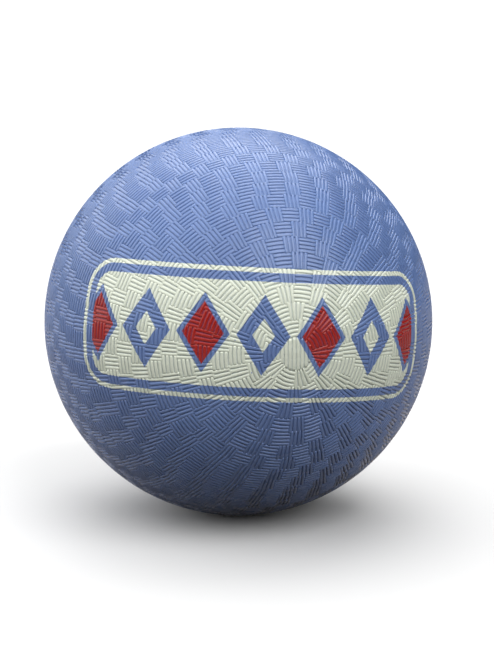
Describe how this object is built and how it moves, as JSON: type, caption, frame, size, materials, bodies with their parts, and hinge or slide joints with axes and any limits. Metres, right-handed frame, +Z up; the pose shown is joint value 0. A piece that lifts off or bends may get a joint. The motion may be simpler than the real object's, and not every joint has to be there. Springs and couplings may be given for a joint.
{
  "type": "playground ball",
  "caption": "Inflatable rubber playground ball with a ribbed basket-weave cover, a wound thread layer, a bladder and a needle valve.",
  "frame": {"origin": "centre of the ball", "axes": "+Y out through the valve, along the mould's axis; the printed side faces -Y; +Z up; the ball rests on the floor at its lowest point, on -Z"},
  "size_m": [0.216, 0.216, 0.216],
  "materials": {
    "cover_rubber": "satin blue rubber with moulded ribs and a printed band",
    "wound_thread": "nylon thread set in latex",
    "bladder_rubber": "smooth black butyl",
    "patch_rubber": "buffed grey rubber",
    "housing_rubber": "moulded dark rubber",
    "core_rubber": "soft amber gum rubber"
  },
  "bodies": {
    "root": {"outer_cover": "cover_rubber", "nylon_winding": "wound_thread", "bladder": "bladder_rubber", "valve_patch": "patch_rubber", "valve_housing": "housing_rubber", "valve_core": "core_rubber"}
  },
  "joints": []
}
